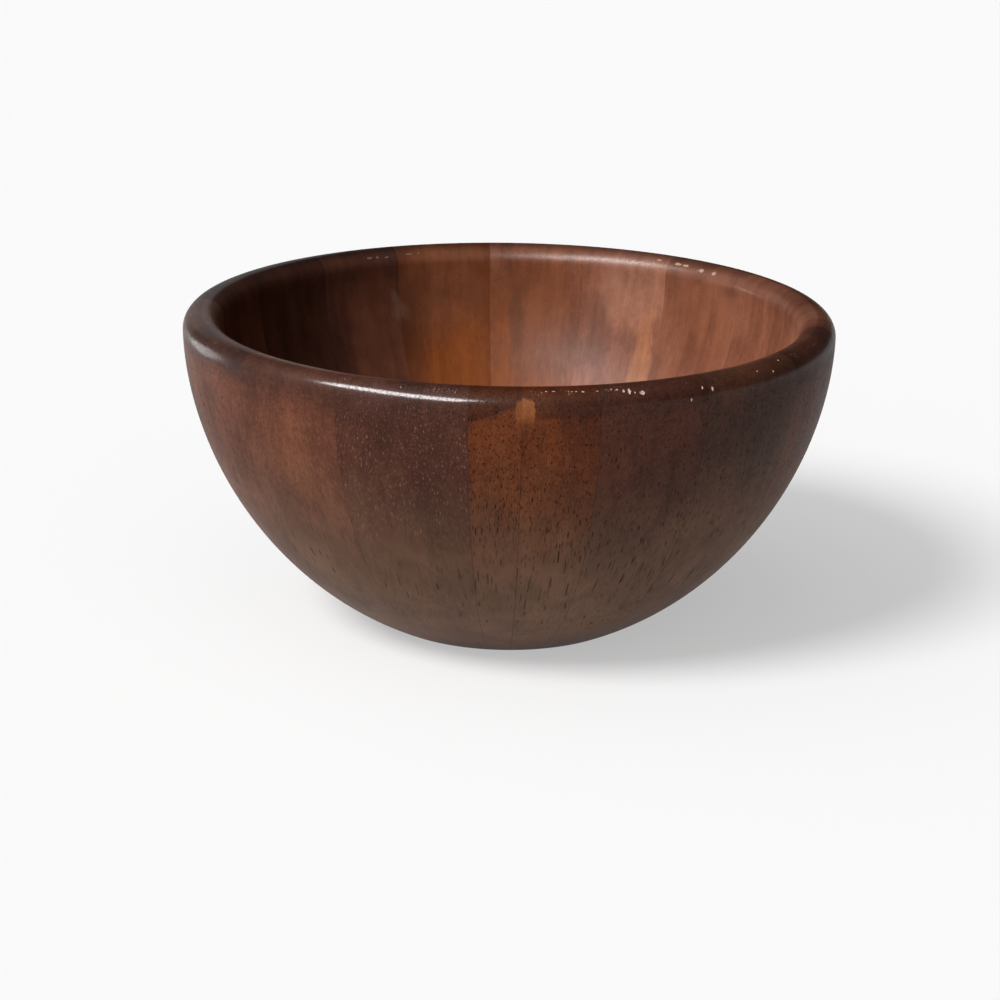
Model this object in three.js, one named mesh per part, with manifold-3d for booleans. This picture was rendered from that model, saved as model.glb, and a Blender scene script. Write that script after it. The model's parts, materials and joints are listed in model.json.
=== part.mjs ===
// A wooden bowl, coopered from leaning staves that are glued into a cone and turned on a lathe.
// Millimetres, +Z up the lathe axis, with the origin on the table at the middle of the foot.
// Angles are counted round the axis from the front, -Y, towards +X.
import * as THREE from 'three';
import { mergeVertices } from 'three/addons/utils/BufferGeometryUtils.js';
import Module from 'manifold-3d';

// The turned form
const BOWL_DIAMETER = 152;
const BOWL_HEIGHT = 74;
const FOOT_DIAMETER = 61;
const RIM_THICKNESS = 8.6;
const LIP_OUTER_ROUND = 4;
const LIP_INNER_ROUND = 4.2;
const FLOOR_HEIGHT = 12; // inside bottom above the table, on the axis

// How far a turned curve is drawn in at mid height: 1 is an ellipse, and more is nearer to a cone
const OUTSIDE_DRAW = 1.08;
const INSIDE_DRAW = 1;

// The foot: the bowl stands on a ring of stave ends, and the base disc lies a little above the table
const FOOT_RING_WIDTH = 6;
const FOOT_HOLLOW = 0.8;

// The staves: two narrow ones at the front and full ones round the rest, each as wide as its board gave.
// Widths are in degrees at the axis, and are stretched evenly so that they close the circle.
const NARROW_DEGREES = { left: 8.5, right: 12.7 };
const STAVE_DEGREES = [
  19.1, 22.3, 22.3, 22.3, 22.3, 21, 19.8, 20.5,
  20.7, 18.5, 21.5, 21.5, 21.5, 21.5, 21.5, 22.6,
];
const GLUE_LINE = 0.3;

// Steps of the facets
const FACETS_ROUND = 85;
const OUTSIDE_STEPS = 14;
const INSIDE_STEPS = 12;
const DISC_STEPS = 5;
const LIP_STEPS = 4;

// Lacquered wood: each stave keeps the tone of its own board
const WOOD_TONES = {
  orange: 0x8b5a38,
  red: 0x75503f,
  brown: 0x5f4234,
  dark: 0x463630,
  grey: 0x4d443d,
};
const STAVE_TONES = [
  'dark', 'grey', 'dark', 'brown', 'red', 'red', 'red', 'brown',
  'orange', 'dark', 'dark', 'brown', 'grey', 'red', 'red', 'dark',
];
const NARROW_TONES = { left: 'orange', right: 'orange' };
const DISC_TONE = 'brown';
const LACQUER_ROUGHNESS = 0.35;

// Sizes that follow from those above
const rimRadius = BOWL_DIAMETER / 2;
const mouthRadius = rimRadius - RIM_THICKNESS;
const footRadius = FOOT_DIAMETER / 2;
const boreRadius = footRadius - FOOT_RING_WIDTH;
const discRadius = boreRadius - GLUE_LINE;
const outsideTop = BOWL_HEIGHT - LIP_OUTER_ROUND;
const insideTop = BOWL_HEIGHT - LIP_INNER_ROUND;
const insideDepth = insideTop - FLOOR_HEIGHT;
const outsideDepth = outsideTop / Math.sin(Math.acos(footRadius / rimRadius)) ** OUTSIDE_DRAW;
const facetAngle = 2 * Math.PI / FACETS_ROUND;
const allDegrees = [NARROW_DEGREES.left, NARROW_DEGREES.right, ...STAVE_DEGREES];
const perDegree = 2 * Math.PI / allDegrees.reduce((sum, width) => sum + width, 0);

const wasm = await Module();
wasm.setup();

// A closed three.js geometry as a solid that can be cut
function solidFrom(geometry) {
  const bare = geometry.clone();
  bare.deleteAttribute('normal');
  bare.deleteAttribute('uv');
  const merged = mergeVertices(bare);
  return new wasm.Manifold(new wasm.Mesh({
    numProp: 3,
    vertProperties: merged.attributes.position.array,
    triVerts: new Uint32Array(merged.index.array),
  }));
}

// A cut solid as a three.js geometry again
function geometryFrom(solid) {
  const cut = solid.getMesh();
  const geometry = new THREE.BufferGeometry();
  geometry.setAttribute('position', new THREE.BufferAttribute(cut.vertProperties, 3));
  geometry.setIndex(new THREE.BufferAttribute(cut.triVerts, 1));
  geometry.computeVertexNormals();
  return geometry;
}

// Points of a turned curve from one radius to another. At the height top it is as wide as widest,
// and it would meet the axis depth below that.
function turnedCurve(widest, top, depth, draw, fromRadius, toRadius, steps) {
  const fromTurn = Math.acos(fromRadius / widest);
  const toTurn = Math.acos(toRadius / widest);
  const points = [];
  for (let step = 0; step <= steps; step++) {
    const turn = THREE.MathUtils.lerp(fromTurn, toTurn, step / steps);
    points.push(new THREE.Vector2(widest * Math.cos(turn), top - depth * Math.sin(turn) ** draw));
  }
  return points;
}

// The inside of the bowl, which wall and base disc share
function insideCurve(fromRadius, toRadius, steps) {
  return turnedCurve(mouthRadius, insideTop, insideDepth, INSIDE_DRAW, fromRadius, toRadius, steps);
}

// Half section of the wall: up the outside from the foot, over the lip, down the inside
// and back through the bore
function wallSection() {
  const outside = turnedCurve(
    rimRadius, outsideTop, outsideDepth, OUTSIDE_DRAW, footRadius, rimRadius, OUTSIDE_STEPS);
  const outerLip = new THREE.ArcCurve(
    rimRadius - LIP_OUTER_ROUND, outsideTop, LIP_OUTER_ROUND, 0, Math.PI / 2, false);
  const innerLip = new THREE.ArcCurve(
    mouthRadius + LIP_INNER_ROUND, insideTop, LIP_INNER_ROUND, Math.PI / 2, Math.PI, false);
  const bore = new THREE.Vector2(boreRadius, 0);
  return [
    bore,
    ...outside,
    ...outerLip.getPoints(LIP_STEPS).slice(1),
    ...innerLip.getPoints(LIP_STEPS),
    ...insideCurve(mouthRadius, boreRadius, INSIDE_STEPS).slice(1),
    bore.clone(),
  ];
}

// Half section of the base disc: out along its hollowed underside, up its glued edge
// and in over the bowl's floor
function discSection() {
  return [
    new THREE.Vector2(0, FOOT_HOLLOW),
    new THREE.Vector2(discRadius, FOOT_HOLLOW),
    ...insideCurve(discRadius, 0, DISC_STEPS),
  ];
}

// A section turned round the axis, with the edge of its first facet at an angle from the front
function turned(section, firstEdge) {
  const lathe = new THREE.LatheGeometry(section, FACETS_ROUND, firstEdge);
  return lathe.rotateX(Math.PI / 2);
}

function direction(angle) {
  return new THREE.Vector2(Math.sin(angle), -Math.cos(angle));
}

// The space of one stave at the front, between two radial joints
// that are each planed back by half the glue line
function staveWedge(halfAngle) {
  const reach = BOWL_DIAMETER; // twice the rim's radius, so that the far side clears the rim
  const tip = direction(0).multiplyScalar(GLUE_LINE / 2 / Math.sin(halfAngle));
  const outline = new THREE.Shape([
    tip,
    tip.clone().addScaledVector(direction(-halfAngle), reach),
    tip.clone().addScaledVector(direction(halfAngle), reach),
  ]);
  const wedge = new THREE.ExtrudeGeometry(outline, { depth: 3 * BOWL_HEIGHT, bevelEnabled: false });
  return wedge.translate(0, 0, -BOWL_HEIGHT); // from one bowl's height below the foot to one above the lip
}

// One stave, parted from the turned wall at the front. The wall has a facet's edge or a facet's middle
// there, whichever leaves the joints further from the edges.
function staveGeometry(angle) {
  const facetsToJoint = angle / 2 / facetAngle;
  const fromEdge = Math.abs(facetsToJoint - Math.round(facetsToJoint));
  const firstEdge = fromEdge < 0.25 ? facetAngle / 2 : 0;
  const wall = solidFrom(turned(wallSection(), firstEdge));
  return geometryFrom(wall.intersect(solidFrom(staveWedge(angle / 2))));
}

function piece(name, geometry, tone) {
  const material = new THREE.MeshStandardMaterial({
    color: WOOD_TONES[tone],
    roughness: LACQUER_ROUGHNESS,
    metalness: 0,
  });
  const mesh = new THREE.Mesh(geometry, material);
  mesh.name = name;
  return mesh;
}

const bowl = new THREE.Group();

// The staves go round side by side, from the left edge of the narrow pair, whose middle is at the front
let joint = -(NARROW_DEGREES.left + NARROW_DEGREES.right) / 2 * perDegree;
function addStave(name, degrees, tone) {
  const angle = degrees * perDegree;
  const stave = piece(name, staveGeometry(angle), tone);
  stave.rotation.z = joint + angle / 2;
  bowl.add(stave);
  joint += angle;
}

addStave('narrow_stave_left', NARROW_DEGREES.left, NARROW_TONES.left);
addStave('narrow_stave_right', NARROW_DEGREES.right, NARROW_TONES.right);
STAVE_DEGREES.forEach((degrees, index) => {
  const name = `stave_${String(index + 1).padStart(2, '0')}`;
  addStave(name, degrees, STAVE_TONES[index % STAVE_TONES.length]);
});

// The base disc, glued into the bore that the stave ends leave
bowl.add(piece('base_disc', turned(discSection(), 0), DISC_TONE));

export default bowl;
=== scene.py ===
# %% [markdown]
# A wooden bowl made of staves
# The bowl is coopered: tapered staves with bevelled edges are glued into a cone, a disc closes the small
# end, and a lathe turns the lot to a thin round form. Every stave comes from its own board, so its colour
# and pores are its own. This lesson models each stave and the disc as a separate piece, and gives each its
# own wood under one lacquer.

# %% Load the fixed frame
import json
from math import acos, atan2, cos, degrees, pi, radians, sin, sqrt

import bpy
from mathutils import Matrix, Vector


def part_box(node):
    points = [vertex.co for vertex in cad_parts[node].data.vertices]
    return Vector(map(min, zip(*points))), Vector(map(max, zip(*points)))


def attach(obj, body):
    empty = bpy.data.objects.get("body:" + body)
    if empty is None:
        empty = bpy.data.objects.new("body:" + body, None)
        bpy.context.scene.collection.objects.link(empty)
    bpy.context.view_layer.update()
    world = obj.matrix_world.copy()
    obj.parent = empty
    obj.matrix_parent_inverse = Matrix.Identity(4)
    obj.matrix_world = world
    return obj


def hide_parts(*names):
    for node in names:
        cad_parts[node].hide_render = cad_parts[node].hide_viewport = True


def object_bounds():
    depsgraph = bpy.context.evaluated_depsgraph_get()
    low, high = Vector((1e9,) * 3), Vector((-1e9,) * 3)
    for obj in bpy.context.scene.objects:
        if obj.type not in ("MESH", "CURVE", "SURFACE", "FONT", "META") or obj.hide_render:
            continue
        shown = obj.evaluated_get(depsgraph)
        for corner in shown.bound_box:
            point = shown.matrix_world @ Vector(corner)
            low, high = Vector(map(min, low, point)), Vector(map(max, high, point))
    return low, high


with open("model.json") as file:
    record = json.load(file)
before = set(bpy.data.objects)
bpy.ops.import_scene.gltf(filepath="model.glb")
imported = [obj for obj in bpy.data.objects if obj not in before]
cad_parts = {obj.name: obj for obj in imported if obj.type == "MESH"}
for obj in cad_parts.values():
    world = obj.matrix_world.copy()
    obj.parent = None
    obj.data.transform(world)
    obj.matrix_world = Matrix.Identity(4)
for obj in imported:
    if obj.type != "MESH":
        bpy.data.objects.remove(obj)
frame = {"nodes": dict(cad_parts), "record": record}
cad_low, cad_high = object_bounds()
slot_of_node = {row["node"]: row["material_slot"] for row in frame["record"]["subparts"]}
bpy.context.scene.view_settings.view_transform = "Standard"
print("nodes in the frame:", len(frame["nodes"]))
print("box of the solids:", [round(size * 1000, 2) for size in cad_high - cad_low], "mm")

# %% [markdown]
# The form that the lathe gives
# The outside is nearly a hemisphere that ends in a flat foot, the wall is about 9 mm thick, and the lip is
# rounded to both sides. Rim and height are read from the frame, and the other sizes are the ones that a
# turner would note down. Each curve is given by its widest radius, as a quarter of an ellipse that may be
# drawn in a little.

# %% Sizes of the turned form, in metres
MM = 0.001
rim_radius = min(cad_high.x, cad_high.y, -cad_low.x, -cad_low.y)
bowl_height = cad_high.z
wall_at_rim = 8.6 * MM
lip_outer_round = 4 * MM
lip_inner_round = 4.2 * MM
foot_radius = 30.5 * MM
foot_ring_width = 6 * MM
foot_edge_ease = 0.7 * MM
foot_hollow = 0.8 * MM
floor_height = 12 * MM
outside_draw = 1.08

mouth_radius = rim_radius - wall_at_rim
bore_radius = foot_radius - foot_ring_width
outside_top = bowl_height - lip_outer_round
inside_top = bowl_height - lip_inner_round
outside_depth = outside_top / sin(acos(foot_radius / rim_radius)) ** outside_draw
inside_depth = inside_top - floor_height
print("rim", round(2 * rim_radius / MM, 2), "mm across, mouth", round(2 * mouth_radius / MM, 2), "mm")


# %% Curves of the half section
def turned_curve(widest, top, depth, draw, from_radius, to_radius, steps):
    """Points (radius, height) of a turned wall between two radii."""
    first = acos(min(1, from_radius / widest))
    last = acos(min(1, to_radius / widest))
    turns = [first + (last - first) * step / steps for step in range(steps + 1)]
    return [(widest * cos(turn), top - depth * max(0, sin(turn)) ** draw) for turn in turns]


def round_edge(middle_radius, middle_height, reach, from_degrees, to_degrees, steps):
    """Points (radius, height) of a rounded edge."""
    sweep = to_degrees - from_degrees
    turns = [radians(from_degrees + sweep * step / steps) for step in range(steps + 1)]
    return [(middle_radius + reach * cos(turn), middle_height + reach * sin(turn)) for turn in turns]


def inside_curve(from_radius, to_radius, steps):
    """The inside of the bowl, which the staves and the base disc share."""
    return turned_curve(mouth_radius, inside_top, inside_depth, 1, from_radius, to_radius, steps)


outside_steps = 56
lip_steps = 14
inside_steps = 48
outside = turned_curve(
    rim_radius, outside_top, outside_depth, outside_draw,
    foot_radius + foot_edge_ease / 2, rim_radius, outside_steps)
outer_lip = round_edge(rim_radius - lip_outer_round, outside_top, lip_outer_round, 0, 90, lip_steps)
inner_lip = round_edge(mouth_radius + lip_inner_round, inside_top, lip_inner_round, 90, 180, lip_steps)
inside = inside_curve(mouth_radius, bore_radius, inside_steps)
foot_ring = [
    (bore_radius, 0),
    (foot_radius - foot_edge_ease, 0),
    (foot_radius - foot_edge_ease / 3, foot_edge_ease / 4),
]
wall_section = foot_ring + outside + outer_lip[1:] + inner_lip + inside[1:]
print("points in the wall's section:", len(wall_section))

# %% [markdown]
# From a section to a turned piece
# A turner thinks in half sections, so the pieces start as one: a plane is merged to a single point, the
# point is extruded along the outline until it meets itself, and the outline is filled. Spinning that face
# round the axis sweeps the solid, as the lathe does. A circle with many insets would also do, but the
# section keeps the curve exact.

# %% Draw a section and spin it
merge_reach = 0.002 * MM
smooth_below = radians(35)


def draw_section(name, section):
    """A filled half section that stands in front of the axis, at -Y."""
    points = [Vector((0, -radius, height)) for radius, height in section]
    bpy.ops.object.select_all(action="DESELECT")
    bpy.ops.mesh.primitive_plane_add(size=MM)
    outline = bpy.context.object
    outline.name = name
    bpy.ops.object.mode_set(mode="EDIT")
    bpy.ops.mesh.merge(type="CENTER")
    bpy.ops.transform.translate(value=points[0])
    for start, end in zip(points, points[1:] + points[:1]):
        bpy.ops.mesh.extrude_vertices_move(TRANSFORM_OT_translate={"value": end - start})
    bpy.ops.mesh.select_all(action="SELECT")
    bpy.ops.mesh.remove_doubles(threshold=merge_reach)
    bpy.ops.mesh.edge_face_add()
    bpy.ops.object.mode_set(mode="OBJECT")
    return outline


def spin_copy(outline, name, from_angle, sweep, steps):
    """Copies a section, turns the copy to its first angle and spins it into a closed piece."""
    bpy.ops.object.select_all(action="DESELECT")
    outline.select_set(True)
    bpy.context.view_layer.objects.active = outline
    bpy.ops.object.duplicate()
    piece = bpy.context.object
    piece.name = name
    piece.data.name = name
    piece.rotation_euler.z = from_angle
    bpy.ops.object.transform_apply(location=False, rotation=True, scale=False)
    bpy.ops.object.mode_set(mode="EDIT")
    bpy.ops.mesh.select_all(action="SELECT")
    bpy.ops.mesh.spin(steps=steps, angle=sweep, center=(0, 0, 0), axis=(0, 0, -1))
    bpy.ops.mesh.select_all(action="SELECT")
    bpy.ops.mesh.remove_doubles(threshold=merge_reach)
    bpy.ops.mesh.normals_make_consistent(inside=False)
    bpy.ops.object.mode_set(mode="OBJECT")
    bpy.ops.object.shade_smooth_by_angle(angle=smooth_below)
    return piece


wall_outline = draw_section("wall_outline", wall_section)
print("section drawn with", len(wall_outline.data.vertices), "points")

# %% [markdown]
# The staves
# Each stave is as wide as its board allowed, so no two need be alike, and two narrow ones sit side by side
# at the front. The frame says where the planed edges are. On the real bowl they are pressed together and
# turned flush, so every edge is brought up to the middle of its glue line: a gap, however thin, would let
# light through. All staves are spun from copies of the one section.

# %% Model the staves
half_glue_line = 0.15 * MM
degrees_per_column = 0.8


def edge_angles(node):
    """Angles of a stave's planed edges, counted round the axis from the front, -Y, towards +X."""
    low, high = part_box(node)
    middle = (low + high) / 2
    facing = atan2(middle.x, -middle.y)
    to_front = Matrix.Rotation(-facing, 3, "Z")
    points = [to_front @ vertex.co for vertex in frame["nodes"][node].data.vertices]
    angles = [atan2(point.x, -point.y) for point in points]
    closing = half_glue_line / rim_radius
    return facing + min(angles) - closing, facing + max(angles) + closing


pieces = {}
middle_angle = {}
half_sweep = {}
for node in sorted(frame["nodes"]):
    if node == "base_disc":
        continue
    left_edge, right_edge = edge_angles(node)
    sweep = right_edge - left_edge
    columns = round(degrees(sweep) / degrees_per_column)
    pieces[node] = spin_copy(wall_outline, f"wood_{node}", left_edge, sweep, columns)
    middle_angle[node] = (left_edge + right_edge) / 2
    half_sweep[node] = sweep / 2
    faces = len(pieces[node].data.polygons)
    print(node, "is", round(degrees(sweep), 2), "degrees wide, with", faces, "faces")
bpy.data.meshes.remove(wall_outline.data)

# %% [markdown]
# The base disc
# The small ends of the staves leave a round hole, and a turned disc is glued into it. Its upper face
# carries on the curve of the inside, and its underside lies a little above the table, so that the bowl
# stands on the ring of stave ends.

# %% Model the base disc
disc_edge_ease = 0.3 * MM
disc_steps = 28
disc_columns = 160
disc_top = inside_curve(bore_radius, 0, disc_steps)
disc_underside = [
    (0, foot_hollow),
    (bore_radius - disc_edge_ease, foot_hollow),
    (bore_radius, foot_hollow + disc_edge_ease),
]
disc_outline = draw_section("disc_outline", disc_underside + disc_top)
pieces["base_disc"] = spin_copy(disc_outline, "wood_base_disc", 0, 2 * pi, disc_columns)
middle_angle["base_disc"] = 0
bpy.data.meshes.remove(disc_outline.data)
print("base disc has", len(pieces["base_disc"].data.polygons), "faces; pieces:", len(pieces))

# %% [markdown]
# A short way to write shaders
# The wood is worked out from formulas, so nodes are written as Python expressions. A strand is one socket
# of a material's node tree: adding or multiplying strands adds Math nodes, and one method makes any other
# node.


# %% Strands of a shader
class Strand:
    """One socket of a node tree, on which arithmetic adds Math nodes."""

    def __init__(self, tree, socket):
        self.tree = tree
        self.socket = socket

    def node(self, kind, settings=None, inputs=None, output=0):
        """Adds a node: its settings are set first, and then its sockets get values or links."""
        made = self.tree.nodes.new("ShaderNode" + kind)
        for key, value in (settings or {}).items():
            setattr(made, key, value)
        for key, value in (inputs or {}).items():
            if isinstance(value, Strand):
                self.tree.links.new(value.socket, made.inputs[key])
            else:
                made.inputs[key].default_value = value
        return Strand(self.tree, made.outputs[output])

    def math(self, operation, first, second=0.0):
        return self.node("Math", {"operation": operation}, {0: first, 1: second})

    def __add__(self, other):
        return self.math("ADD", self, other)

    def __sub__(self, other):
        return self.math("SUBTRACT", self, other)

    def __mul__(self, other):
        return self.math("MULTIPLY", self, other)

    def __truediv__(self, other):
        return self.math("DIVIDE", self, other)

    def __rsub__(self, other):
        return self.math("SUBTRACT", other, self)

    __radd__ = __add__
    __rmul__ = __mul__

    def rise(self, low, high):
        """0 below low, 1 above high and a smooth step between them; low may be above high."""
        settings = {"interpolation_type": "SMOOTHSTEP"}
        return self.node("MapRange", settings, {"Value": self, "From Min": low, "From Max": high})

    def part(self, axis):
        return self.node("SeparateXYZ", None, {0: self}, axis)

    def length(self):
        return self.node("VectorMath", {"operation": "LENGTH"}, {0: self}, "Value")

    def moved(self, place=(0, 0, 0), turn=(0, 0, 0), scale=(1, 1, 1)):
        inputs = {"Vector": self, "Location": place, "Rotation": turn, "Scale": scale}
        return self.node("Mapping", None, inputs)

    def cloud(self, scale, detail=2, roughness=0.5, output=0):
        """Noise of these coordinates, about 0.5 on average."""
        inputs = {"Vector": self.moved(scale=scale), "Scale": 1.0, "Detail": detail, "Roughness": roughness}
        return self.node("TexNoise", None, inputs, output)

    def bent(self, scale, reach):
        """These coordinates, pushed about by a slow noise."""
        push = self.cloud(scale, 1, 0.5, "Color")
        settings = {"operation": "MULTIPLY_ADD"}
        return self.node("VectorMath", settings, {0: push, 1: (reach, reach, reach), 2: self})

    def blend(self, first, second):
        """The first colour where this strand is 0, and the second where it is 1."""
        return self.node("Mix", {"data_type": "RGBA"}, {0: self, 6: first, 7: second}, 2)

    def tint(self, colour):
        """This colour multiplied by another one."""
        settings = {"data_type": "RGBA", "blend_type": "MULTIPLY"}
        return self.node("Mix", settings, {0: 1.0, 6: self, 7: colour}, 2)


def new_material(name):
    """A material, its shader node and a strand with the Object coordinates, in millimetres."""
    material = bpy.data.materials.new(name)
    material.use_nodes = True
    tree = material.node_tree
    shader = tree.nodes["Principled BSDF"]
    start = Strand(tree, tree.nodes.new("ShaderNodeTexCoord").outputs["Object"])
    return material, shader, start.moved(scale=(1 / MM, 1 / MM, 1 / MM))


def plug(strand, shader, socket):
    strand.tree.links.new(strand.socket, shader.inputs[socket])


print("strands are ready")

# %% [markdown]
# Wood
# The boards are an open-pored tropical hardwood. Its pores are tubes that run along the grain, and the
# staves lean out by about 36 degrees, so the lathe cuts the tubes across near the rim, where they show as
# dots, and lengthways low on the wall, where they show as long streaks. A flat picture could not do that,
# so the wood is a solid texture: each stave turns the coordinates to its own board, with the grain along Z,
# and shifts them to its own place in the tree. Lengths in the materials are millimetres.

# %% Where a point lies in its board
grain_lean = radians(36)
mid_wall_radius = 71.8
mid_wall_top = 70
mid_wall_depth = 64


class Spot:
    """A point of one board: strands with its place in the bowl and in the grain."""

    def __init__(self, place, node, seed, lean):
        self.place = place
        self.board = place.moved(turn=(0, 0, -middle_angle[node]))
        place_in_tree = (7.3 * seed, 13.1 * seed, 29.7 * seed)
        straight = self.board.moved(place=place_in_tree, turn=(-grain_lean - radians(lean), 0, 0))
        self.grain = straight.bent((0.07, 0.07, 0.03), 2.2)
        self.height = place.part("Z")
        self.across = self.board.part("X")
        self.radius = place.moved(scale=(1, 1, 0)).length()
        self.ragged = self.grain.cloud((0.16, 0.16, 0.07), 3, 0.6) * 16

        # Through the wall: below 1 on the inside and above 1 on the outside
        wall_scale = (1 / mid_wall_radius, 1 / mid_wall_radius, 1 / mid_wall_depth)
        wall_middle = (0, 0, -mid_wall_top / mid_wall_depth)
        self.through = place.moved(place=wall_middle, scale=wall_scale).length()
        self.outside_face = self.through.rise(0.995, 1.005)


print("grain leans", round(degrees(grain_lean)), "degrees")

# %% [markdown]
# Colour of a board
# A board is never one colour: broad clouds, streaks along the grain, mottling and fine fibres make it
# lighter and darker between two tones, and some boards have a flame or a scorched patch of their own. Near
# the foot the outside is painted with a greyish brown reflection of the pale floor, so the boards' colours
# draw together there.

# %% Tones of the boards and of the finish
TONES = {
    "orange_wood": {"pale": (0.25, 0.066, 0.014), "deep": (0.135, 0.033, 0.008)},
    "red_wood": {"pale": (0.27, 0.1, 0.056), "deep": (0.165, 0.056, 0.03)},
    "brown_wood": {"pale": (0.25, 0.088, 0.045), "deep": (0.14, 0.045, 0.021)},
    "dark_wood": {"pale": (0.145, 0.05, 0.029), "deep": (0.082, 0.028, 0.017)},
    "grey_wood": {"pale": (0.13, 0.056, 0.033), "deep": (0.08, 0.035, 0.022)},
}
pore_dark = (0.016, 0.007, 0.005, 1)
pore_filled = (0.33, 0.2, 0.16, 1)
# Dark stain of the lip; where it is strongest it is also painted shade and a painted dark reflection along
# the crest.
lip_stain_and_shade = (0.25, 0.22, 0.24, 1)
# Tint that makes the whole outside darker than the inside.
outside_darkening = (0.66, 0.6, 0.56, 1)
hand_rub = (0.76, 0.74, 0.73, 1)
# Painted reflection of the pale floor, which turns the outside greyish brown near the foot.
floor_reflection_tone = (0.2, 0.112, 0.07, 1)
bare_wood = (0.56, 0.43, 0.35, 1)
scorch = (0.05, 0.02, 0.012, 1)
flame = (0.5, 0.2, 0.075, 1)
glow = (0.25, 0.064, 0.008, 1)
smudge = (0.3, 0.19, 0.15, 1)
glue_line = (0.03, 0.013, 0.009, 1)
warm_edge = (0.17, 0.055, 0.025, 1)
clear_tab = (0.25, 0.082, 0.021, 1)
# Painted sheen on the lip.
painted_lip_sheen = (0.22, 0.095, 0.075, 1)
red_top = (0.2, 0.074, 0.041, 1)
# Pale painted sheen on the upper inside wall.
painted_pale_sheen = (0.46, 0.23, 0.15, 1)
print("tones of wood:", len(TONES))


# %% Figure and colour of one board
def wood_figure(spot, streaky):
    """How light the wood is, and the streaks, mottling and fibres that make it so."""
    clouds = spot.grain.cloud((0.09, 0.06, 0.045), 4, 0.6)
    streaks = spot.grain.cloud((0.34, 0.1, 0.014), 4, 0.62)
    mottle = spot.grain.cloud((0.9, 0.9, 0.3), 3, 0.65)
    fibres = spot.grain.cloud((3.0, 3.0, 0.3), 2, 0.6)
    fine = (mottle - 0.5) * 0.45 + (fibres - 0.5) * 0.6
    figure = clouds * (1 - streaky) + streaks * streaky + fine * (spot.outside_face * 0.9 + 0.4)
    return figure.rise(0.32, 0.68), streaks, mottle, fibres


def board_colour(node, spot, lightness, shade, marks, foot):
    """The tone of a board with its marks: (colour, across, height, half width, half height, strength), and
    a painted floor reflection near the foot.
    """
    tone = TONES[slot_of_node[node]]
    deep = [channel * shade for channel in tone["deep"]] + [1]
    pale = [channel * shade for channel in tone["pale"]] + [1]
    colour = lightness.blend(deep, pale)
    wander = (spot.board.cloud((0.13, 0.13, 0.06), 3, 0.6) - 0.5) * 9
    for mark_colour, mark_across, mark_height, half_wide, half_tall, strength in marks:
        sideways = (spot.across + wander - mark_across) / half_wide
        upward = (spot.height - wander * 1.6 - mark_height) / half_tall
        mark = (sideways * sideways + upward * upward).rise(1.4, 0.1) * (lightness * 0.5 + 0.5)
        colour = (mark * strength).blend(colour, mark_colour)
    # Painted reflection of the pale floor: towards the foot the outside turns greyish brown, as much as
    # foot says.
    painted_floor_reflection = (spot.height + spot.ragged).rise(68, 30) * spot.outside_face * foot
    return painted_floor_reflection.blend(colour, (lightness * 0.4 + 0.8).blend((0, 0, 0, 1), floor_reflection_tone))


# %% [markdown]
# Pores
# A pore is a tube a few tenths of a millimetre wide that is open for a few millimetres along the grain.
# Cells of a flat Voronoi pattern, drawn out along the grain, give such tubes, each with its own width and
# its own open stretches. Two layers, of large and of small pores, gather in faint rows, as in the rings of
# a tree. On two staves the pores are filled with pale dust.

# %% Pores of one board
ring_pitch = 1.0


def pore_layer(grain, spacing, radius, length, share):
    """Tubes along the grain: 1 inside a pore and 0 outside. Share is the part of each tube that is open."""
    flat = grain.moved(scale=(1 / spacing, 1 / spacing, 1))
    cells = flat.node("TexVoronoi", {"voronoi_dimensions": "2D"}, {"Vector": flat, "Scale": 1.0})
    chance = Strand(grain.tree, cells.socket.node.outputs["Color"])
    along = grain.part("Z") / length + chance.part("X") * 8
    from_middle = along.math("PINGPONG", along, 1.0)
    open_here = (share - from_middle).rise(0, 0.2)
    reach = (chance.part("Y") * 0.7 + 0.55) * (radius / spacing)
    return (cells / reach).rise(1.0, 0.6) * open_here * (chance.part("Z") * 0.6 + 0.4)


def pore_mask(spot, streaks, pores, low_pores, pore_size):
    """Large and small pores, which hardly show through the inside's finish."""
    turn = spot.grain.part("Y") * (2 * pi / ring_pitch)
    rows = turn.math("SINE", turn)
    cut_lengthways = spot.height.rise(44, 34)
    gathered = (streaks - 0.5) * 0.9 + rows * 0.14 + pores
    gathered = gathered + cut_lengthways * low_pores - spot.height.rise(24, 8) * 0.45
    large_pores = pore_layer(spot.grain, 0.85, 0.18 * pore_size, 5.0, gathered)
    small_grain = spot.grain.moved(place=(3.3, 5.1, 2.7))
    small_share = gathered * 0.9 - cut_lengthways * 0.25
    small_pores = pore_layer(small_grain, 0.5, 0.11 * pore_size, 2.2, small_share)
    both = large_pores.math("MAXIMUM", large_pores, small_pores * 0.8)
    return both * (spot.outside_face * 0.92 + 0.08)


def colour_pores(colour, spot, all_pores, filled):
    """Dark pores, and pale ones where dust has filled them."""
    dusty = (spot.height + spot.ragged * 0.5).rise(30, 46) * filled
    return (all_pores * (0.8 - dusty * 0.28)).blend(colour, dusty.blend(pore_dark, pore_filled))


print("rows of pores every", ring_pitch, "mm")

# %% [markdown]
# Glue, stain, painted shade and wear
# The glue shows as a dark hairline along the joints. The outside is darker than the inside, hands have
# rubbed the finish unevenly, and the lip has the darkest stain, which fades inwards; at the back and on the
# left its crest is darkened further as painted shade. These are tints that multiply the wood's colour, so
# that its figure still shows through. Where the lip and the foot are rubbed most, the wood is bare in small
# specks.


# %% Glue, stain, painted shade and wear of one board
def joint_distance(node, spot):
    """How far a point lies from the nearest glued joint."""
    if node == "base_disc":
        return bore_radius / MM - spot.radius
    sideways = spot.across.math("ABSOLUTE", spot.across)
    return spot.board.part("Y") * -sin(half_sweep[node]) - sideways * cos(half_sweep[node])


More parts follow.
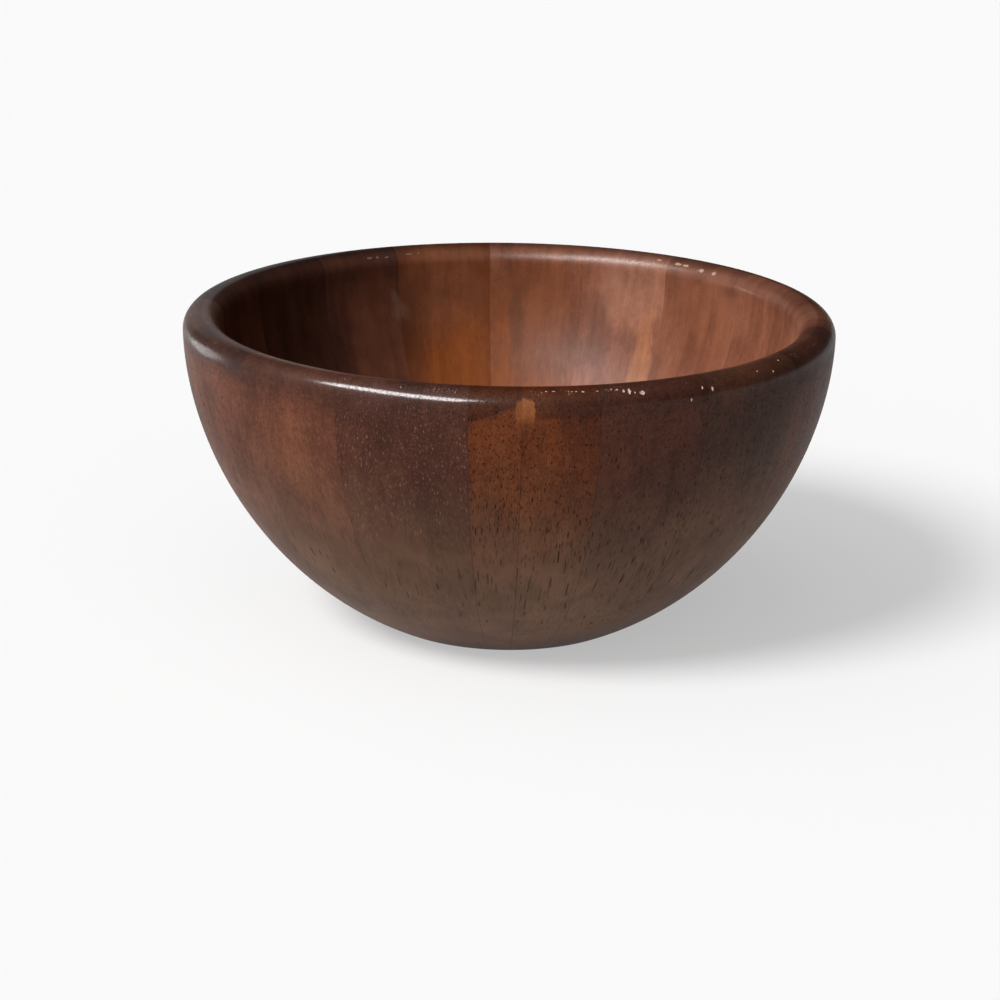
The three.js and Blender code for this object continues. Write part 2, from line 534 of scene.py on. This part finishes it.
def glue_darkening_and_rub(colour, node, spot):
    """The hairline of glue, the outside's darker tint and the patches that hands have rubbed."""
    hairline = joint_distance(node, spot).rise(0.12, 0.04) * (spot.outside_face * 0.3 + 0.15)
    colour = hairline.blend(colour, glue_line)
    # The whole outside is darkened by a tint.
    colour = spot.outside_face.blend(colour, colour.tint(outside_darkening))
    rubbed = spot.place.cloud((0.055, 0.055, 0.055), 3, 0.6).rise(0.62, 0.38)
    return rubbed.blend(colour, colour.tint(hand_rub))


def stain_and_shade_lip(colour, spot, lightness, stain, stain_slope, stain_from, crest_rub, tab):
    """The lip's stain and painted shade, (edge, blur, strength), which may leave a tab clear, (from, to,
    rise, strength).
    """
    stain_edge, stain_blur, stain_strength = stain
    rough = (spot.board.cloud((0.45, 0.45, 0.45), 3, 0.65) - 0.5) * 2.6
    edge = spot.across * stain_slope + stain_edge + rough
    if tab:
        tab_from, tab_to, tab_rise, tab_strength = tab
        swaying = spot.across + (spot.board.cloud((0.5, 0.5, 0.5), 2, 0.6) - 0.5) * 1.6
        inside_tab = swaying.rise(tab_from - 0.3, tab_from + 0.3) * swaying.rise(tab_to + 0.3, tab_to - 0.3)
        edge = edge + inside_tab * tab_rise
        clear = inside_tab * spot.height.rise(66.2, 69.4) * (edge - spot.height).rise(-0.4, 0.4)
        colour = (clear * (lightness * 0.3 + 0.55) * tab_strength).blend(colour, clear_tab)
    above = spot.height - edge
    # At the back and on the left the strongest stain is also painted shade along the crest.
    stain_and_shade_mask = above.rise(-stain_blur, stain_blur) * spot.radius.rise(stain_from, stain_from + 3.4)
    stain_and_shade_mask = stain_and_shade_mask * (1 - spot.height.rise(71.2, 73.2) * crest_rub)
    return (stain_and_shade_mask * stain_strength).blend(colour, colour.tint(lip_stain_and_shade))


def worn_specks(spot, wear):
    """Specks of bare wood on the lip's outer arris and on the edge of the foot."""
    arris = spot.radius.rise(73.0, 73.6) * spot.radius.rise(74.8, 74.2) * spot.height.rise(72, 72.6)
    foot_edge = spot.height.rise(1.0, 0.2) * spot.outside_face * 0.6
    fine_specks = spot.place.cloud((1.9, 1.9, 1.9), 2, 0.6).rise(0.62, 0.67)
    patches = spot.place.cloud((0.22, 0.22, 0.22), 1, 0.5).rise(0.5, 0.6)
    return (arris * wear + foot_edge) * fine_specks * patches


# %% [markdown]
# Lacquer
# The satin lacquer is a clear film, so it is the shader's coat. It is thinner inside, polished on the lip
# by use, with a fine orange peel that breaks up the highlight, thin over the pores and gone where it is
# worn. The film's weight varies over the surface, and its blur is one number for each board.


# %% Lacquer of one board
def lacquer(shader, spot, mottle, fibres, all_pores, worn, gloss_blur):
    """Sets everything that shines: roughness, coat and bumps."""
    patchy = spot.place.cloud((0.12, 0.12, 0.12), 3, 0.6)
    plug(patchy * 0.16 + 0.47 + all_pores * 0.2 + worn * 0.2, shader, "Roughness")
    thin = all_pores * 0.16 + worn * 0.15
    peel = spot.place.cloud((2.2, 2.2, 2.2), 2, 0.6)
    polished = spot.height.rise(68.5, 71.5) * (peel.rise(0.3, 0.7) * 0.13 + 0.045)
    outer = spot.through.rise(0.96, 1.03)
    film = (patchy * 0.06 + 0.06 + (mottle - 0.5) * 0.1) * (outer * 0.52 + 0.48)
    plug(film + polished * (1.3 - outer * 0.3) - thin, shader, "Coat Weight")
    relief = fibres * 0.25 + mottle * 0.3 + peel * 0.3 - all_pores
    dents = spot.grain.node("Bump", None, {"Strength": 0.5, "Distance": 0.05 * MM, "Height": relief})
    plug(dents, shader, "Normal")
    shader.inputs["Specular IOR Level"].default_value = 0.04
    shader.inputs["Coat Roughness"].default_value = gloss_blur
    shader.inputs["Coat IOR"].default_value = 1.7


# %% [markdown]
# The boards
# Orange, red, brown, dark and greyish boards alternate round the bowl. The photograph shows some of them
# from outside and others from inside, and those that show well have marks of their own: a pale flame, a
# scorched patch, smudges. On the two narrow staves the dark stain of the lip ends in a sharp edge, which
# slants on the left one, and a small tab across their joint was left clear.


# %% All of one board
def board_wood(node, seed, shade=1.0, pores=0.4, low_pores=0.0, pore_size=1.0, filled=0.0, streaky=0.5,
               lean=0.0, foot=0.6, stain=(69.5, 2.5, 0.8), stain_slope=0.0, stain_from=67.2, crest_rub=0.0,
               tab=None, wear=0.2, gloss_blur=0.22, marks=()):
    """The lacquered wood of one piece."""
    material, shader, place = new_material(f"lacquered_{node}")
    spot = Spot(place, node, seed, lean)
    lightness, streaks, mottle, fibres = wood_figure(spot, streaky)
    colour = board_colour(node, spot, lightness, shade, marks, foot)
    all_pores = pore_mask(spot, streaks, pores, low_pores, pore_size)
    colour = colour_pores(colour, spot, all_pores, filled)
    colour = glue_darkening_and_rub(colour, node, spot)
    colour = stain_and_shade_lip(colour, spot, lightness, stain, stain_slope, stain_from, crest_rub, tab)
    worn = worn_specks(spot, wear)
    plug(worn.blend(colour, bare_wood), shader, "Base Color")
    lacquer(shader, spot, mottle, fibres, all_pores, worn, gloss_blur)
    return material


# %% Choose a board for every piece
# In each board, foot sets how strongly the floor's reflection is painted near the foot.
boards = {
    "narrow_stave_left": dict(
        seed=1, shade=0.75, pores=0.9, low_pores=-0.5, pore_size=1.2, foot=1.0,
        stain=(69.0, 0.55, 0.65), stain_slope=0.4, crest_rub=0.1, tab=(4.4, 7, 0.8, 0.6), gloss_blur=0.16,
        marks=[(scorch, 0, 43, 9, 4, 0.12), (flame, 0, 50, 9, 14, 0.12)]),
    "narrow_stave_right": dict(
        seed=2, shade=0.77, pores=0.75, low_pores=-0.03, pore_size=1.1, foot=1.0,
        stain=(68.3, 0.55, 0.5), crest_rub=0.35, tab=(-9.5, -5.7, 4.0, 1.0), wear=0.8,
        marks=[(scorch, 9.5, 54, 9, 36, 0.2), (flame, -3, 46, 9, 14, 0.16)]),
    "stave_01": dict(
        seed=3, shade=0.8, pores=0.5, low_pores=0.15, pore_size=1.1, foot=1.0, stain=(69, 2, 0.3),
        crest_rub=0.6, wear=0.3, marks=[(warm_edge, -10, 60, 5, 16, 0.5)]),
    "stave_02": dict(
        seed=4, shade=0.78, pores=0.5, foot=0.9, stain=(69, 2, 0.18), crest_rub=0.5,
        marks=[(warm_edge, 0, 73, 16, 4, 0.35)]),
    "stave_03": dict(seed=5, shade=0.95, pores=0.5, foot=0.9, stain=(66, 5, 0.55)),
    "stave_04": dict(
        seed=6, shade=1.1, stain=(69.5, 2.5, 0.62), stain_from=66.4,
        # The pale mark is a painted sheen on the inside wall.
        marks=[(painted_pale_sheen, 0, 52, 14, 30, 0.35)]),
    "stave_05": dict(seed=7, pores=0.3, stain=(69.5, 2.5, 0.62), stain_from=66.0),
    "stave_06": dict(
        seed=8, shade=0.92, pores=0.3, stain_from=66.8, gloss_blur=0.32,
        marks=[(glow, 0, 50, 14, 26, 0.16)]),
    "stave_07": dict(
        seed=9, shade=1.07, pores=0.3, gloss_blur=0.38, marks=[
            (flame, -7, 44, 3.2, 17, 0.65), (scorch, 5, 54, 4, 10, 0.3),
            # The pale mark near the top is a painted sheen on the inside wall.
            (painted_pale_sheen, -3, 66, 10, 11, 0.5)]),
    "stave_08": dict(
        seed=10, shade=1.14, pores=0.3, gloss_blur=0.38, marks=[
            (glow, 9, 45, 4, 25, 0.6), (glow, 0, 50, 12, 24, 0.4), (scorch, 4, 58, 2, 9, 0.35)]),
    "stave_09": dict(
        seed=11, shade=0.85, pores=0.3, marks=[
            (red_top, 0, 66, 14, 15, 0.6), (glow, -3, 36, 8, 22, 0.7), (scorch, 12, 54, 7, 30, 0.6),
            (smudge, 10.5, 60, 2.5, 4, 0.2)]),
    # stave_10, stave_11 and stave_12 are darker wood, and their low shade adds painted shade to the left of
    # the inside; their strong lip stain is partly painted shade too.
    "stave_10": dict(
        seed=12, shade=0.7, stain=(69, 3, 0.95),
        marks=[(warm_edge, -3, 48, 9, 26, 0.4), (smudge, -10, 60, 2.5, 4, 0.2)]),
    "stave_11": dict(seed=13, shade=0.5, stain=(69, 3, 0.95)),
    "stave_12": dict(seed=14, shade=0.4, stain=(69, 3, 0.9)),
    # On stave_13 and stave_14 the lip's strong stain is partly a painted dark reflection along the left of
    # the lip.
    "stave_13": dict(seed=15, shade=1.4, stain=(69, 3, 0.66)),
    "stave_14": dict(seed=16, shade=0.84, pores=0.3, stain=(69, 3, 0.95)),
    "stave_15": dict(
        seed=17, shade=0.73, pores=0.35, filled=0.5, streaky=0.4, foot=0.95, stain=(68, 3.5, 0.55),
        gloss_blur=0.16, marks=[
            (flame, 1, 50, 8, 14, 0.16), (scorch, -3, 42, 2.5, 22, 0.25), (scorch, 6, 32, 2.5, 20, 0.2)]),
    "stave_16": dict(
        seed=18, shade=0.76, pores=0.6, low_pores=-0.2, filled=1.0, foot=1.0, stain=(68, 5, 0.12), wear=0.4,
        # Its mark on the lip is a painted sheen.
        gloss_blur=0.16, marks=[(painted_lip_sheen, -6, 71, 6, 5, 0.3)]),
    "base_disc": dict(seed=19, lean=54, foot=0.0),
}
for node, choice in boards.items():
    pieces[node].data.materials.append(board_wood(node, **choice))
print("boards:", len(boards))

# %% [markdown]
# Chips in the lip
# Knocks have broken small chips out of the lip's two arrises, down to the pale bare wood. Each is cut with
# a rough little stone: a sphere whose points are shaken, flattened against the lip and subtracted. A bump
# in the material could not show at the outline, so the chips are real hollows, and the cutter hands its
# own bare wood to the faces that it leaves. At the back the bare wood is darker, most of all on the left.


# %% Bare wood
def chipped_wood():
    """Torn, dry fibres without lacquer."""
    material, shader, place = new_material("chipped_wood")
    torn = place.cloud((4, 4, 1.5), 3, 0.7)
    colour = torn.rise(0.3, 0.7).blend((0.33, 0.22, 0.165, 1), (0.58, 0.44, 0.36, 1))
    at_the_back = place.part("Y").rise(0, 40)
    colour = at_the_back.blend(colour, colour.tint((0.85, 0.74, 0.68, 1)))
    # The bare wood is darker at the back, and darker still on the left of the back.
    back_left_darkening = at_the_back * place.part("X").rise(10, -10)
    colour = back_left_darkening.blend(colour, colour.tint((0.4, 0.33, 0.3, 1)))
    plug(colour, shader, "Base Color")
    plug(torn * 0.2 + 0.7, shader, "Roughness")
    shader.inputs["Specular IOR Level"].default_value = 0.15
    return material


chip_material = chipped_wood()
print("bare wood:", chip_material.name)

# %% Stones that cut the chips
stone_offset = 0.6  # of a stone's radius, from the lip's surface out to the stone's middle
stone_depth = 1 - stone_offset
stone_width = 2 * sqrt(1 - stone_offset ** 2)


def lip_axes(turn, lip_turn):
    """A place on the lip, the direction round the rim there and the direction out of the wood."""
    reach = lip_outer_round
    centre = Vector((rim_radius - lip_outer_round, 0, outside_top))
    if lip_turn > pi / 2:
        reach = lip_inner_round
        centre = Vector((mouth_radius + lip_inner_round, 0, inside_top))
    out = Vector((cos(lip_turn), 0, sin(lip_turn)))
    to_place = Matrix.Rotation(turn - pi / 2, 3, "Z")
    return to_place @ (centre + out * reach), to_place @ Vector((0, 1, 0)), to_place @ out


def chip_stone(turn, lip_turn, wide, tall, deep, seed):
    """A shaken sphere, sunk into the lip so far that it cuts a chip of the given size."""
    spot, along_rim, out = lip_axes(radians(turn), radians(lip_turn))
    bpy.ops.mesh.primitive_ico_sphere_add(subdivisions=3, radius=1)
    stone = bpy.context.object
    bpy.ops.object.mode_set(mode="EDIT")
    bpy.ops.mesh.select_all(action="SELECT")
    bpy.ops.transform.vertex_random(offset=0.16, normal=0.6, seed=seed)
    bpy.ops.object.mode_set(mode="OBJECT")
    stone_reach = deep * MM / stone_depth
    stone.scale = (wide * MM / stone_width, tall * MM / stone_width, stone_reach)
    stone.rotation_euler = Matrix((along_rim, out.cross(along_rim), out)).transposed().to_euler()
    stone.location = spot + out * (stone_offset * stone_reach)
    bpy.ops.object.transform_apply()
    stone.data.materials.append(chip_material)
    return stone


print("stones sink", round(stone_depth, 2), "of their radius into the lip")


# %% Cut the chips
def cut_chips(node, chips):
    """Subtracts stones from one stave. A chip is (turn, lip turn, width, height, depth)."""
    stave = pieces[node]
    bpy.ops.object.select_all(action="DESELECT")
    stones = [chip_stone(*chip, seed=count + len(node)) for count, chip in enumerate(chips)]
    for stone in stones:
        stone.select_set(True)
    bpy.ops.object.join()
    cutter = bpy.context.object
    bpy.ops.object.select_all(action="DESELECT")
    stave.select_set(True)
    bpy.context.view_layer.objects.active = stave
    bpy.ops.object.modifier_add(type="BOOLEAN")
    cut = stave.modifiers[-1]
    cut.operation = "DIFFERENCE"
    cut.solver = "EXACT"
    cut.material_mode = "TRANSFER"
    cut.object = cutter
    bpy.ops.object.modifier_apply(modifier=cut.name)
    bpy.ops.object.shade_smooth_by_angle(angle=smooth_below)
    bpy.data.meshes.remove(cutter.data)
    bare = sum(face.material_index > 0 for face in stave.data.polygons)
    print(node, "has", len(chips), "chips with", bare, "bare faces of", len(stave.data.polygons))


cut_chips("narrow_stave_right", [
    (1.8, 64, 0.5, 0.3, 0.12), (3.0, 64, 0.7, 0.3, 0.12), (6.0, 61, 0.4, 0.3, 0.12),
    (6.7, 61, 0.4, 0.3, 0.12), (7.8, 59, 0.6, 0.5, 0.15)])
cut_chips("stave_01", [
    (12.6, 63, 0.4, 0.4, 0.15), (13.5, 60, 0.6, 0.5, 0.18), (14.6, 53, 0.6, 0.8, 0.22),
    (15.5, 50, 0.8, 1.6, 0.32), (16.4, 44, 0.4, 0.5, 0.16), (17.7, 41, 1.2, 1.0, 0.28),
    (26.3, 2, 0.4, 0.8, 0.16), (28.7, 34, 0.5, 0.7, 0.18)])
cut_chips("stave_02", [
    (30.6, 26, 0.6, 1.1, 0.24), (41.6, 50, 0.4, 0.4, 0.12), (45.3, 35, 0.5, 0.5, 0.16),
    (48.6, 66, 0.5, 0.4, 0.15)])
cut_chips("stave_06", [
    (137.6, 130, 2.1, 0.9, 0.26), (135.6, 131, 1.6, 0.8, 0.24), (131.2, 138, 1.6, 1.1, 0.3),
    (127.6, 138, 1.5, 1.1, 0.3)])
cut_chips("stave_07", [(142.4, 126, 1.5, 0.6, 0.2)])
cut_chips("stave_09", [(-161.8, 137, 1.9, 0.7, 0.22), (-163.9, 136, 1.0, 0.5, 0.18)])
cut_chips("stave_10", [
    (-152.6, 139, 1.6, 0.7, 0.22), (-154.4, 140, 1.0, 0.6, 0.2), (-156.6, 142, 1.2, 0.6, 0.2)])

# %% [markdown]
# Put the pieces in the frame
# Every piece stands for the solid of the same place and rides on the only body, since nothing on a bowl
# moves.

# %% Ride and replace
for node, piece in pieces.items():
    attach(piece, "root")
    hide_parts(node)
print("replaced:", len(pieces))

# %% [markdown]
# The studio
# The bowl stands on a plain white floor, which looks lighter to the camera than it is, but keeps the bowl's
# shadow. One lamp, high on the left in front, gives the light and shade and leaves the left of the inside
# dark. The sky is brighter on the left and dim on the right, as in a room with its window on the left, so
# that it fills in the shadows without flattening the form.

# %% Floor
floor_whitening = 0.45
bpy.ops.object.select_all(action="DESELECT")
bpy.ops.mesh.primitive_plane_add(size=40)
studio_floor = bpy.context.object
studio_floor.name = "studio_floor"
floor_paint = bpy.data.materials.new("floor_paint")
floor_paint.use_nodes = True
paint_tree = floor_paint.node_tree
matt_paint = paint_tree.nodes["Principled BSDF"]
matt_paint.inputs["Base Color"].default_value = (0.85, 0.85, 0.85, 1)
matt_paint.inputs["Roughness"].default_value = 1
matt_paint.inputs["Specular IOR Level"].default_value = 0
light_path = paint_tree.nodes.new("ShaderNodeLightPath")
seen = Strand(paint_tree, light_path.outputs["Is Camera Ray"])
for ray in ("Is Glossy Ray", "Is Transmission Ray"):
    seen = seen.math("MAXIMUM", seen, Strand(paint_tree, light_path.outputs[ray]))
white = seen.node("Emission", None, {"Color": (1, 1, 1, 1), "Strength": 1.0})
paint = Strand(paint_tree, matt_paint.outputs[0])
lightened = seen.node("MixShader", None, {0: seen * floor_whitening, 1: paint, 2: white})
paint_tree.links.new(lightened.socket, paint_tree.nodes["Material Output"].inputs["Surface"])
studio_floor.data.materials.append(floor_paint)
print("floor", studio_floor.dimensions.x, "m wide")

# %% Key lamp and sky
bpy.ops.object.light_add(type="SUN", rotation=(radians(45), 0, radians(-53)))
key_lamp = bpy.context.object
key_lamp.name = "key_lamp"
key_lamp.data.energy = 3.2
key_lamp.data.angle = radians(22)
key_lamp.visible_glossy = False

bright_side = Vector((-0.62, -0.5, 0.6)).normalized()
bright_sky = 0.6
dim_sky = 0.045
sky = bpy.data.worlds.new("studio_sky")
bpy.context.scene.world = sky
sky.use_nodes = True
sky_tree = sky.node_tree
towards = Strand(sky_tree, sky_tree.nodes.new("ShaderNodeTexCoord").outputs["Generated"])
window_inputs = {0: towards, 1: bright_side}
facing_window = towards.node("VectorMath", {"operation": "DOT_PRODUCT"}, window_inputs, "Value")
sky_light = facing_window.rise(-0.1, 0.95) * bright_sky + dim_sky
sky_tree.links.new(sky_light.socket, sky_tree.nodes["Background"].inputs["Color"])
print("key lamp", round(key_lamp.data.energy, 2), "and a sky that is brightest on the left")

# %% [markdown]
# Highlights
# A lacquered edge shows a long, narrow highlight because the window that it mirrors is long and narrow.
# Three strip lamps stand in for such windows: one overhead on the left, mirrored by both arrises of the lip
# and by the inside, and two small ones behind the left side, mirrored by the left of the lip. They are seen
# only in reflections, so that the key lamp and the sky alone give the light and shade.


# %% Strip lamps
def strip_lamp(name, aim, direction, along, reach, long_side, short_side, brightness):
    """A rectangle of light that faces a point of the bowl, with its long side along a given direction."""
    out = Vector(direction).normalized()
    bpy.ops.object.light_add(type="AREA", location=aim + out * reach)
    lamp = bpy.context.object
    lamp.name = name
    lamp.data.shape = "RECTANGLE"
    lamp.data.size = long_side
    lamp.data.size_y = short_side
    lamp.data.energy = brightness * pi * long_side * short_side
    side = (Vector(along) - out * out.dot(Vector(along))).normalized()
    lamp.rotation_euler = Matrix((side, out.cross(side), out)).transposed().to_euler()
    lamp.visible_camera = False
    lamp.visible_diffuse = False
    print(name, "at", [round(value, 2) for value in lamp.location])


rim_middle = Vector((0, 0, bowl_height))
left_lip = Vector((-71.5, -25, 71.3)) * MM
strip_lamp(
    "overhead_strip", rim_middle, direction=(-0.547, -0.481, 0.689), along=(0.479, -0.87, -0.112),
    reach=1.5, long_side=1.37, short_side=0.4, brightness=55)
strip_lamp(
    "low_strip", left_lip, direction=(-0.739, 0.685, 0.008), along=(-0.446, -0.557, 0.703),
    reach=0.35, long_side=0.17, short_side=0.11, brightness=7)
strip_lamp(
    "back_strip", left_lip, direction=(-0.135, 0.961, 0.242), along=(1, 0, 0),
    reach=0.25, long_side=0.14, short_side=0.11, brightness=0.7)

# %% [markdown]
# The camera
# The photograph was taken from a little above the rim with a long lens. The camera first looks at the
# middle of the rim and is then rolled, panned and tilted, because the bowl sits high in the picture.

# %% Camera
camera_turn = radians(-4.29)
camera_height = radians(13.357)
camera_reach = 632.7 * MM
outward = Vector((
    sin(camera_turn) * cos(camera_height), -cos(camera_turn) * cos(camera_height), sin(camera_height)))
bpy.ops.object.camera_add(location=rim_middle + outward * camera_reach)
camera = bpy.context.object
camera.name = "photo_camera"
camera.data.lens = 97.2
camera.data.sensor_width = 36
facing = Matrix.Rotation(camera_turn, 3, "Z") @ Matrix.Rotation(pi / 2 - camera_height, 3, "X")
roll = Matrix.Rotation(radians(0.851), 3, "Z")
pan = Matrix.Rotation(radians(0.202), 3, "Y")
tilt = Matrix.Rotation(radians(-4.08), 3, "X")
camera.rotation_euler = (facing @ roll @ pan @ tilt).to_euler()
bpy.context.scene.camera = camera
print("camera at", [round(value, 4) for value in camera.location])

# %% [markdown]
# Finish
# The view layer is brought up to date.

# %% Finish
bpy.context.view_layer.update()
